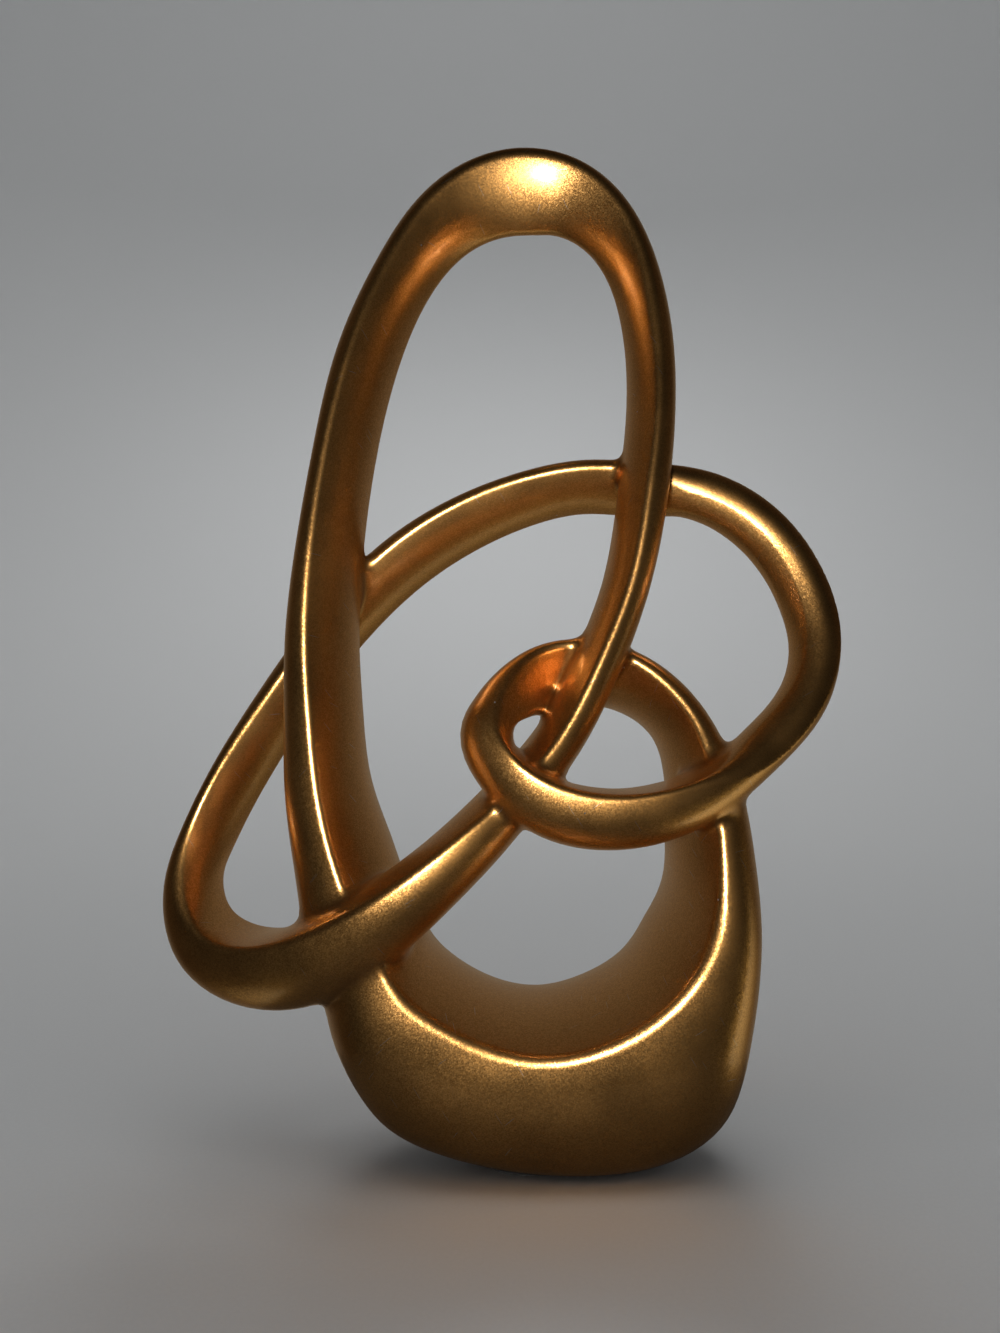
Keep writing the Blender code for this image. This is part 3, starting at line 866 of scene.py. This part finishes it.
class ShaderGroup:
    """A shader node group with named inputs and outputs, built once."""

    def __init__(self, name: str, inputs: dict[str, str], outputs: dict[str, str]) -> None:
        """Make the group's sockets.

        Args:
            name: Name of the group.
            inputs: Kind of each input.
            outputs: Kind of each output.
        """
        self.tree = bpy.data.node_groups.new(name, "ShaderNodeTree")
        for way, sockets in (("INPUT", inputs), ("OUTPUT", outputs)):
            for label, kind in sockets.items():
                self.tree.interface.new_socket(label, in_out=way, socket_type=f"NodeSocket{kind}")
        self.nodes = NodeTree(self.tree)
        self.given = self.tree.nodes.new("NodeGroupInput").outputs
        self.result = self.tree.nodes.new("NodeGroupOutput")

    def send(self, outputs: dict[str, NodeSocket]) -> ShaderNodeTree:
        """Join sockets inside the group to its outputs, and return the finished group."""
        self.nodes.feed(self.result, outputs)
        return self.tree


@cache
def fleck_group() -> ShaderNodeTree:
    """Make the group for small flat flecks that each lie a little differently.

    Returns:
        The group, which gives each fleck's own brightness and normal.
    """
    group = ShaderGroup(
        "flecks",
        {"Vector": "Vector", "Size": "Float", "Tilt": "Float"},
        {"Value": "Float", "Normal": "Vector"},
    )
    nodes = group.nodes
    scale = nodes.math("DIVIDE", 1.0, group.given["Size"])
    cells = nodes.add("TexVoronoi", {"Vector": group.given["Vector"], "Scale": scale})
    centred = nodes.vector("SUBTRACT", {0: cells["Color"], 1: (0.5, 0.5, 0.5)})
    tilted = nodes.vector("SCALE", {0: centred[0], "Scale": group.given["Tilt"]})
    summed = nodes.vector("ADD", {0: nodes.add("NewGeometry", {})["Normal"], 1: tilted[0]})
    value = nodes.add("SeparateColor", {0: cells["Color"]})["Red"]
    return group.send({"Value": value, "Normal": nodes.vector("NORMALIZE", {0: summed[0]})[0]})


@cache
def speck_group() -> ShaderNodeTree:
    """Make the group for scattered specks of dust.

    Returns:
        The group, which gives a mask that is 1 on the specks.
    """
    group = ShaderGroup(
        "specks",
        {"Vector": "Vector", "Spacing": "Float", "Radius": "Float", "Share": "Float"},
        {"Mask": "Float"},
    )
    nodes = group.nodes
    scale = nodes.math("DIVIDE", 1.0, group.given["Spacing"])
    cells = nodes.add("TexVoronoi", {"Vector": group.given["Vector"], "Scale": scale})
    chance = nodes.add("SeparateColor", {0: cells["Color"]})
    kept = nodes.math("LESS_THAN", chance["Red"], group.given["Share"])
    size = nodes.math("MULTIPLY", chance["Green"], group.given["Radius"])
    inside = nodes.math("LESS_THAN", cells["Distance"], size)
    return group.send({"Mask": nodes.math("MULTIPLY", kept, inside)})


@cache
def scratch_group() -> ShaderNodeTree:
    """Make the group for short hairline scratches in two directions.

    Returns:
        The group, which gives a mask that is 1 in the scratches.
    """
    group = ShaderGroup(
        "scratches",
        {"Vector": "Vector", "Length": "Float", "Width": "Float", "Share": "Float"},
        {"Mask": "Float"},
    )
    nodes = group.nodes
    along = nodes.math("DIVIDE", 1.0, group.given["Length"])
    across = nodes.math("DIVIDE", 1.0, group.given["Width"])
    stretch = nodes.add("CombineXYZ", {0: across, 1: along, 2: along})
    masks = []
    for turn in SCRATCH_TURNS:
        turned = nodes.add(
            "VectorRotate", {"Vector": group.given["Vector"], "Rotation": turn}, rotation_type="EULER_XYZ"
        )
        cell = nodes.vector("MULTIPLY", {0: turned[0], 1: stretch[0]})
        lines = nodes.add("TexVoronoi", {"Vector": cell[0], "Scale": 1.0})
        chance = nodes.add("SeparateColor", {0: lines["Color"]})["Red"]
        kept = nodes.math("LESS_THAN", chance, group.given["Share"])
        masks.append(nodes.math("MULTIPLY", kept, nodes.math("LESS_THAN", lines["Distance"], SCRATCH_CORE)))
    return group.send({"Mask": nodes.math("MAXIMUM", *masks)})


@cache
def cloud_group() -> ShaderNodeTree:
    """Make the group for slow, cloudy change over a surface.

    Returns:
        The group, which gives a value about 0.5.
    """
    inputs = {"Vector": "Vector", "Size": "Float", "Detail": "Float"}
    group = ShaderGroup("clouds", inputs, {"Value": "Float"})
    scale = group.nodes.math("DIVIDE", 1.0, group.given["Size"])
    inputs = {"Vector": group.given["Vector"], "Scale": scale, "Detail": group.given["Detail"]}
    return group.send({"Value": group.nodes.add("TexNoise", inputs)[0]})


def new_material(name: str) -> tuple[Material, NodeTree, Node, NodeSocket]:
    """Start a material.

    Args:
        name: Name of the material.

    Returns:
        The material, its tree, its shader and the object coordinates.
    """
    material = bpy.data.materials.new(name)
    material.use_nodes = True
    nodes = NodeTree(material.node_tree)
    shader = material.node_tree.nodes["Principled BSDF"]
    return material, nodes, shader, nodes.add("TexCoord", {})["Object"]


@dataclass(frozen=True)
class GoldPaint:
    """Satin gold paint with fine metal flakes under a thin lacquer.

    The paint is deep in colour where it lies thick and light on its brightest flakes, and painted shade
    darkens it in each crease where the strand meets itself. The edge is its tint where it is seen along
    the surface, the tilt is how far a flake leans, and the waves are what sanding leaves. A speck's size is
    a share of the specks' spacing, and the shares of specks and scratches are out of all the places for
    one.
    """

    deep: Colour = (0.46, 0.230, 0.062, 1.0)
    light: Colour = (0.68, 0.375, 0.120, 1.0)
    # Painted shade for the creases: its colour, how far into a crease it starts, and its largest share
    painted_crease_shade: Colour = (0.25, 0.110, 0.030, 1.0)
    painted_shade_reach: Range = (0.2, 1.0)
    most_painted_shade: float = 0.7
    flake: float = 0.24 * MM
    tilt: float = 0.12
    roughness: Range = (0.35, 0.41)
    cloud: float = 14.0 * MM
    ridge_polish: float = 0.06
    edge: Colour = (0.95, 0.78, 0.60, 1.0)
    waves: float = 0.02 * MM
    wave_length: float = 5.0 * MM
    wave_detail: float = 1.0
    dust: Colour = (0.60, 0.55, 0.50, 1.0)
    speck_gap: float = 5.0 * MM
    speck_size: float = 0.05
    speck_share: float = 0.35
    scratch_length: float = 5.0 * MM
    scratch_width: float = 0.10 * MM
    scratch_share: float = 0.004
    lacquer: float = 0.85
    lacquer_roughness: float = 0.21

    def material(self) -> Material:
        """Mix the paint.

        Returns:
            The paint as a material.
        """
        material, nodes, shader, place = new_material("satin_gold_paint")
        flecks = nodes.group(fleck_group(), place, Size=self.flake, Tilt=self.tilt)
        clouds = nodes.group(cloud_group(), place, Size=self.cloud, Detail=CLOUD_DETAIL)["Value"]
        waves = nodes.group(cloud_group(), place, Size=self.wave_length, Detail=self.wave_detail)["Value"]
        specks = nodes.group(
            speck_group(), place, Spacing=self.speck_gap, Radius=self.speck_size, Share=self.speck_share
        )["Mask"]
        scratches = nodes.group(
            scratch_group(), place,
            Length=self.scratch_length, Width=self.scratch_width, Share=self.scratch_share,
        )["Mask"]
        ridge = nodes.add("Attribute", {}, attribute_name="ridge")["Fac"]
        crease = nodes.add("Attribute", {}, attribute_name="crease")["Fac"]

        colour = nodes.mixed(flecks["Value"], self.deep, self.light)
        # Painted shade: the paint is darkened towards the middle of each crease where the strand meets
        # itself
        painted_crease_shade = nodes.spread(crease, self.painted_shade_reach, (0.0, self.most_painted_shade))
        colour = nodes.mixed(painted_crease_shade, colour, self.painted_crease_shade)
        rough = nodes.spread(clouds, CLOUD_RANGE, self.roughness)
        polish = nodes.math("MULTIPLY", ridge, self.ridge_polish)
        nodes.feed(shader, {
            "Base Color": nodes.mixed(nodes.math("MAXIMUM", specks, scratches), colour, self.dust),
            "Metallic": nodes.math("SUBTRACT", 1.0, specks),
            "Roughness": nodes.math("SUBTRACT", rough, polish),
            "Normal": nodes.bump(waves, Distance=self.waves, Normal=flecks["Normal"]),
            "Specular Tint": self.edge,
            "Coat Weight": self.lacquer,
            "Coat Roughness": self.lacquer_roughness,
        })
        return material


@dataclass(frozen=True)
class DrawnSteel:
    """Plain drawn steel of the pins, with duller worn places of the size of its grain."""

    colour: Colour = (0.55, 0.55, 0.56, 1.0)
    worn: Colour = (0.38, 0.38, 0.39, 1.0)
    grain: float = 0.6 * MM
    roughness: Range = (0.22, 0.42)

    def material(self) -> Material:
        """Make the steel.

        Returns:
            The steel as a material.
        """
        material, nodes, shader, place = new_material("drawn_steel")
        clouds = nodes.group(cloud_group(), place, Size=self.grain, Detail=CLOUD_DETAIL)["Value"]
        nodes.feed(shader, {
            "Base Color": nodes.mixed(clouds, self.colour, self.worn),
            "Roughness": nodes.spread(clouds, CLOUD_RANGE, self.roughness),
            "Metallic": 1.0,
        })
        return material


@dataclass(frozen=True)
class PressedFelt:
    """Black pressed felt, a tangle of fibres that are lit where they stand up, with specks of dust in it.

    The nap is the height of the tangle. A speck's size is a share of the specks' spacing, and their
    share is out of all the places for one.
    """

    colour: Colour = (0.012, 0.012, 0.013, 1.0)
    lit: Colour = (0.05, 0.05, 0.052, 1.0)
    dust: Colour = (0.2, 0.19, 0.18, 1.0)
    fibre: float = 0.5 * MM
    fibre_detail: float = 8.0
    nap: float = 0.3 * MM
    nap_strength: float = 0.8
    speck_gap: float = 2.0 * MM
    speck_size: float = 0.06
    speck_share: float = 0.3
    roughness: float = 0.95
    sheen: float = 0.3

    def material(self) -> Material:
        """Make the felt.

        Returns:
            The felt as a material.
        """
        material, nodes, shader, place = new_material("pressed_felt")
        clouds = nodes.group(cloud_group(), place, Size=self.fibre, Detail=self.fibre_detail)["Value"]
        specks = nodes.group(
            speck_group(), place, Spacing=self.speck_gap, Radius=self.speck_size, Share=self.speck_share
        )["Mask"]
        nodes.feed(shader, {
            "Base Color": nodes.mixed(specks, nodes.mixed(clouds, self.colour, self.lit), self.dust),
            "Normal": nodes.bump(clouds, Strength=self.nap_strength, Distance=self.nap),
            "Roughness": self.roughness,
            "Sheen Weight": self.sheen,
        })
        return material


@dataclass(frozen=True)
class PalePaper:
    """Plain pale studio paper, with a darker grain whose shade is a share of the paper's colour."""

    colour: Colour = (0.72, 0.73, 0.735, 1.0)
    shade: float = 0.94
    grain: float = 1.0 * MM
    roughness: float = 0.9
    gloss: float = 0.1

    def material(self) -> Material:
        """Make the paper.

        Returns:
            The paper as a material.
        """
        material, nodes, shader, place = new_material("pale_paper")
        clouds = nodes.group(cloud_group(), place, Size=self.grain, Detail=CLOUD_DETAIL)["Value"]
        darker = tuple(self.shade * part for part in self.colour[:3]) + (1.0,)
        nodes.feed(shader, {
            "Base Color": nodes.mixed(clouds, self.colour, darker),
            "Roughness": self.roughness,
            "Specular IOR Level": self.gloss,
        })
        return material


@dataclass(frozen=True)
class PaintedShadowCard:
    """Dark card round the foot, seen only in reflections, as the painted shadow of the foot on the floor.
    """

    # Painted shadow: the dark colour that the foot's reflections show on the floor round it
    colour: Colour = (0.08, 0.07, 0.055, 1.0)

    def material(self) -> Material:
        """Make the dark card of painted shadow.

        Returns:
            The card as a material.
        """
        material, nodes, shader, _ = new_material("painted_shadow_card")
        nodes.feed(shader, {"Base Color": self.colour, "Roughness": 1.0})
        return material


@dataclass(frozen=True)
class GlowingCloth:
    """Lit cloth of the studio's reflector, dim round its rim but for a bright warm band low down.

    Places between the rim and the middle are shares of the dome's radius, and the band's spread is in
    cosines of the angle from the direction that it lies towards.
    """

    rim: Colour = (0.018, 0.010, 0.006, 1.0)
    middle: Colour = (0.20, 0.168, 0.120, 1.0)
    inward: Range = (0.30, 0.90)
    band: Colour = (1.6, 1.45, 0.90, 1.0)
    band_reach: Range = (-0.225, 0.45)
    towards: Place = (0.40, 0.0, -0.92)
    band_spread: Range = (0.30, 0.90)

    def material(self) -> Material:
        """Make the cloth and its light.

        Returns:
            The cloth as a material.
        """
        material, nodes, shader, place = new_material("glowing_cloth")
        unit = nodes.vector("NORMALIZE", {0: place})[0]
        depth = nodes.add("SeparateXYZ", {0: unit})["Y"]
        colour = nodes.mixed(nodes.spread(depth, self.inward), self.rim, self.middle)
        near_rim = nodes.spread(depth, self.band_reach, (1.0, 0.0))
        along = nodes.vector("DOT_PRODUCT", {0: unit, 1: self.towards})["Value"]
        low = nodes.spread(along, self.band_spread)
        nodes.feed(shader, {
            "Emission Color": nodes.mixed(nodes.math("MULTIPLY", near_rim, low), colour, self.band),
            "Base Color": (0.0, 0.0, 0.0, 1.0),
            "Emission Strength": 1.0,
        })
        return material


@dataclass
class FeltPad:
    """The pressed felt pad under the foot, with a soft cut edge.

    The cut is the least angle, in radians, between two faces that meet at the cut edge, and the edge is
    its rounding. The fuzz is how far the fibres, in tufts, make the surface uneven.
    """

    sides: int = 96
    cut: float = 1.0
    edge: float = 0.25 * MM
    edge_steps: int = 3
    fuzz: float = 0.04 * MM
    tuft: float = 1.2 * MM

    def build(self) -> Object:
        """Build the pad in the space of its CAD solid.

        Returns:
            The pad as one piece.
        """
        low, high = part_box("felt_pad")
        size = high - low
        centre = 0.5 * (low + high)
        radius = 0.5 * size.y
        straight = 0.5 * size.x - radius
        shape = bmesh.new()
        bmesh.ops.create_circle(shape, cap_ends=True, segments=self.sides, radius=radius)
        bmesh.ops.translate(shape, verts=shape.verts, vec=(centre.x, centre.y, low.z))
        for vert in shape.verts:
            vert.co.x += math.copysign(straight, vert.co.x - centre.x)
        raised = bmesh.ops.extrude_face_region(shape, geom=list(shape.faces))
        top = [item for item in raised["geom"] if isinstance(item, bmesh.types.BMVert)]
        bmesh.ops.translate(shape, verts=top, vec=(0.0, 0.0, size.z))
        bmesh.ops.recalc_face_normals(shape, faces=shape.faces)
        rims = [edge for edge in shape.edges if edge.calc_face_angle(0.0) > self.cut]
        bmesh.ops.bevel(
            shape, geom=rims, offset=self.edge, affect="EDGES",
            segments=self.edge_steps, profile=0.5, material=-1,
        )
        for vert in shape.verts:
            push = noise.noise(vert.co / self.tuft) * self.fuzz
            outward = (vert.co - centre).normalized()
            vert.co -= outward * (self.fuzz + push)
        return new_object("pressed_felt_pad", shape)


@dataclass(frozen=True)
class SoftLight:
    """A soft light with an oval face, which hangs at a place and points at its target.

    The size is the face's width and height, and the power is in watts.
    """

    name: str
    place: Place
    target: Place
    size: Range
    power: float
    colour: Place = (1.0, 1.0, 1.0)

    def hang(self) -> Object:
        """Hang the light.

        Returns:
            The light.
        """
        light = bpy.data.lights.new(self.name, "AREA")
        light.shape = "ELLIPSE"
        light.size, light.size_y = self.size
        light.energy = self.power
        light.color = self.colour
        lamp = bpy.data.objects.new(self.name, light)
        lamp.location = self.place
        lamp.rotation_euler = (Vector(self.target) - Vector(self.place)).to_track_quat("-Z", "Y").to_euler()
        lamp.visible_camera = False
        bpy.context.scene.collection.objects.link(lamp)
        return lamp


@dataclass
class Studio:
    """The pale floor and wall, the lights and the camera.

    The floor curves up into the wall from the floor radius on, and the cove is that curve's radius. The
    dome glows behind the sculpture, from its front on, and the dark card of painted shadow lies round the
    foot, seen only in reflections. The camera's place is the one that the photograph's perspective gives,
    and its lens and the sensor's long side are in millimetres.
    """

    floor_radius: float = 0.45
    cove: float = 1.3
    cove_steps: int = 32
    wall: float = 1.4
    wall_sides: int = 96
    dome_radius: float = 1.2
    dome_segments: tuple[int, int] = (48, 24)
    dome_front: float = -0.2
    shadow_card_size: Range = (0.17, 0.11)
    shadow_card_place: Place = (0.0, -0.020, 0.5 * MM)
    key: SoftLight = SoftLight(
        "key", (-0.030, -0.244, 0.131), (0.0, 0.0, 0.12), (0.02, 0.02), 0.78, (1.0, 0.94, 0.87)
    )
    room_lights: tuple[SoftLight, ...] = (
        SoftLight("floor_light", (0.0, 0.7, 1.9), (0.0, 0.7, 0.0), (1.4, 1.4), 5.4),
        SoftLight("wall_light", (0.0, -0.3, 1.5), (0.0, 1.8, 0.5), (1.4, 1.0), 4.0),
        SoftLight("middle_light", (0.0, 0.9, 0.9), (0.0, 1.0, 0.1), (0.6, 0.5), 1.8),
    )
    camera_place: Place = (-0.0134, -0.2440, 0.1196)
    lens: float = 27.03
    sensor: float = 36.0
    nearest: float = 0.01
    room_colour: Colour = (0.9, 0.95, 1.0, 1.0)
    room_strength: float = 0.008

    def build(self) -> None:
        """Build the stage, the lights and the camera."""
        self.backdrop()
        self.lay_painted_shadow()
        self.reflector()
        self.lights()
        self.camera()
        self.surroundings()

    def backdrop(self) -> None:
        """Turn the floor, cove and wall round the object."""
        shape = bmesh.new()
        path = [Vector((0.0, 0.0, 0.0)), Vector((self.floor_radius, 0.0, 0.0))]
        for step in range(1, self.cove_steps + 1):
            angle = 0.5 * math.pi * step / self.cove_steps
            rise = self.cove * (1.0 - math.cos(angle))
            path.append(Vector((self.floor_radius + self.cove * math.sin(angle), 0.0, rise)))
        path.append(path[-1] + Vector((0.0, 0.0, self.wall)))
        verts = [shape.verts.new(point) for point in path]
        edges = [shape.edges.new(pair) for pair in zip(verts[:-1], verts[1:])]
        bmesh.ops.spin(
            shape, geom=verts + edges, cent=(0.0, 0.0, 0.0), axis=(0.0, 0.0, 1.0),
            angle=2.0 * math.pi, steps=self.wall_sides, use_merge=True,
        )
        bmesh.ops.remove_doubles(shape, verts=shape.verts, dist=PAPER_GAP)
        bmesh.ops.recalc_face_normals(shape, faces=shape.faces)
        if next(iter(shape.faces)).normal.z < 0.0:
            bmesh.ops.reverse_faces(shape, faces=shape.faces)
        stage = new_object("paper_sweep", shape)
        stage.data.materials.append(PalePaper().material())
        stage.visible_glossy = False

    def lay_painted_shadow(self) -> None:
        """Lay a dark card on the floor round the foot, seen only in the sculpture's reflections, as painted
        shadow.
        """
        # Painted shadow: a dark card where the foot shades the floor, seen only in reflections
        shape = bmesh.new()
        bmesh.ops.create_grid(shape, x_segments=1, y_segments=1, size=0.5)
        bmesh.ops.scale(shape, verts=shape.verts, vec=(*self.shadow_card_size, 1.0))
        bmesh.ops.translate(shape, verts=shape.verts, vec=self.shadow_card_place)
        self.only_reflected(new_object("painted_shadow_card", shape), PaintedShadowCard().material())

    def reflector(self) -> None:
        """Stand a glowing dome behind, seen only in the sculpture's reflections."""
        around, rise = self.dome_segments
        shape = bmesh.new()
        bmesh.ops.create_uvsphere(shape, u_segments=around, v_segments=rise, radius=self.dome_radius)
        bmesh.ops.bisect_plane(
            shape, geom=shape.verts[:] + shape.edges[:] + shape.faces[:],
            plane_co=(0.0, self.dome_front, 0.0), plane_no=(0.0, 1.0, 0.0), clear_inner=True,
        )
        self.only_reflected(new_object("reflector", shape), GlowingCloth().material())

    @staticmethod
    def only_reflected(thing: Object, material: Material) -> None:
        """Finish a thing of the studio that shows only in the sculpture's reflections.

        Args:
            thing: The thing.
            material: What it is made of.
        """
        thing.data.materials.append(material)
        thing.visible_camera = False
        thing.visible_diffuse = False
        thing.visible_shadow = False

    def lights(self) -> None:
        """Hang the key light for the sculpture's gloss alone, and the rest for all but its gloss."""
        self.key.hang().visible_diffuse = False
        for light in self.room_lights:
            light.hang().visible_glossy = False

    def camera(self) -> None:
        """Place the camera level in front of the sculpture, as in the photograph."""
        data = bpy.data.cameras.new("camera")
        data.lens = self.lens
        data.sensor_width = self.sensor
        data.clip_start = self.nearest
        camera = bpy.data.objects.new("camera", data)
        camera.location = self.camera_place
        camera.rotation_euler = (0.5 * math.pi, 0.0, 0.0)
        bpy.context.scene.collection.objects.link(camera)
        bpy.context.scene.camera = camera

    def surroundings(self) -> None:
        """Give the room a faint even light."""
        world = bpy.data.worlds.new("room")
        world.use_nodes = True
        light = {"Color": self.room_colour, "Strength": self.room_strength}
        NodeTree(world.node_tree).feed(world.node_tree.nodes["Background"], light)
        bpy.context.scene.world = world
        bpy.context.scene.view_settings.view_transform = "Standard"


def main() -> None:
    """Dress the frame and set up the studio."""
    logging.basicConfig(level=logging.INFO, format="%(name)s: %(message)s")

    body = CastBody().build()
    body.data.materials.append(GoldPaint().material())
    castings = [name for name in frame["nodes"] if name.endswith("_casting")]
    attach(body, BODY)
    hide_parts(*castings)
    LOG.info("cast body: %d faces", len(body.data.polygons))

    pad = FeltPad().build()
    pad.data.materials.append(PressedFelt().material())
    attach(pad, BODY)
    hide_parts("felt_pad")
    LOG.info("felt pad: %d faces", len(pad.data.polygons))

    steel = DrawnSteel().material()
    for name, node in frame["nodes"].items():
        if name.endswith("_pin"):
            node.data.materials.clear()
            node.data.materials.append(steel)
            LOG.info("%s: drawn steel", name)

    Studio().build()


if __name__ == "__main__":
    main()
